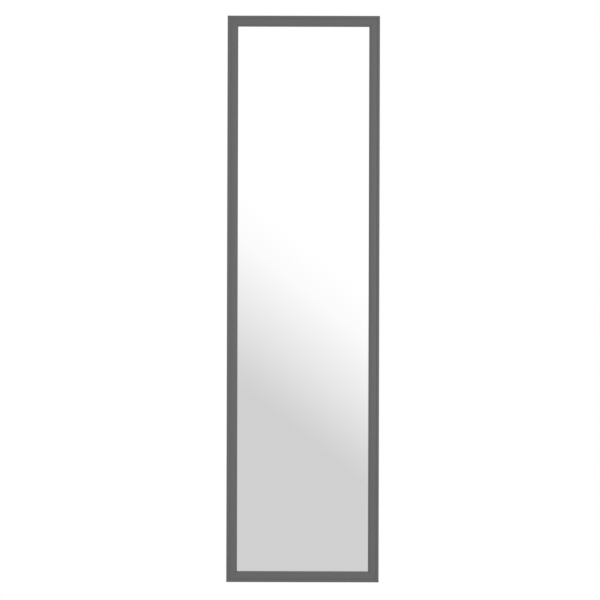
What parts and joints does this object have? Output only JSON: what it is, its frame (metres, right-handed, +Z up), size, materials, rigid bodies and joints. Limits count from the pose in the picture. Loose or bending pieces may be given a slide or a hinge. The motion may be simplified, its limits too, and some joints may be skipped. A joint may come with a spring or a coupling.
{
  "type": "over-the-door mirror",
  "caption": "Tall narrow mirror in a slim mitred moulding frame, hung over a door's top edge by slotted steel straps that slide to set its height.",
  "frame": {"origin": "middle of the door's top front edge, level with the undersides of the hooks' felt pads", "axes": "+X to the right of someone who looks into the mirror, +Y away from them through the door, +Z up"},
  "size_m": [0.3364, 0.0594, 1.2517],
  "materials": {
    "frame_moulding": "satin dark grey paint",
    "silvered_glass": "polished",
    "hardboard": "matt pressed fibre",
    "bright_steel": "bright cut sheet",
    "zinc_plated_steel": "zinc plated",
    "coated_steel": "dark grey powder coat",
    "felt": "pressed felt",
    "bumper_rubber": "moulded matt"
  },
  "bodies": {
    "mirror": {"top_rail": "frame_moulding", "bottom_rail": "frame_moulding", "left_stile": "frame_moulding", "right_stile": "frame_moulding", "mirror_pane": "silvered_glass", "backing_board": "hardboard", "top_left_corner_nails": "bright_steel", "top_left_bumper": "bumper_rubber", "top_right_corner_nails": "bright_steel", "top_right_bumper": "bumper_rubber", "bottom_right_corner_nails": "bright_steel", "bottom_right_bumper": "bumper_rubber", "bottom_left_corner_nails": "bright_steel", "bottom_left_bumper": "bumper_rubber", "top_rail_points": "bright_steel", "right_stile_points": "bright_steel", "bottom_rail_points": "bright_steel", "left_stile_points": "bright_steel", "left_hanger_screws": "zinc_plated_steel", "left_hanger_washers": "zinc_plated_steel", "right_hanger_screws": "zinc_plated_steel", "right_hanger_washers": "zinc_plated_steel"},
    "left_hanger": {"left_hanger_strap": "coated_steel", "left_seat_pad": "felt", "left_lip_pad": "felt"},
    "right_hanger": {"right_hanger_strap": "coated_steel", "right_seat_pad": "felt", "right_lip_pad": "felt"}
  },
  "joints": [
    {"name": "left_hanger_height", "type": "slide", "parent": "mirror", "child": "left_hanger", "axis": [0, 0, 1], "range_m": [0, 0.075]},
    {"name": "right_hanger_height", "type": "slide", "parent": "mirror", "child": "right_hanger", "axis": [0, 0, 1], "range_m": [0, 0.075]}
  ]
}
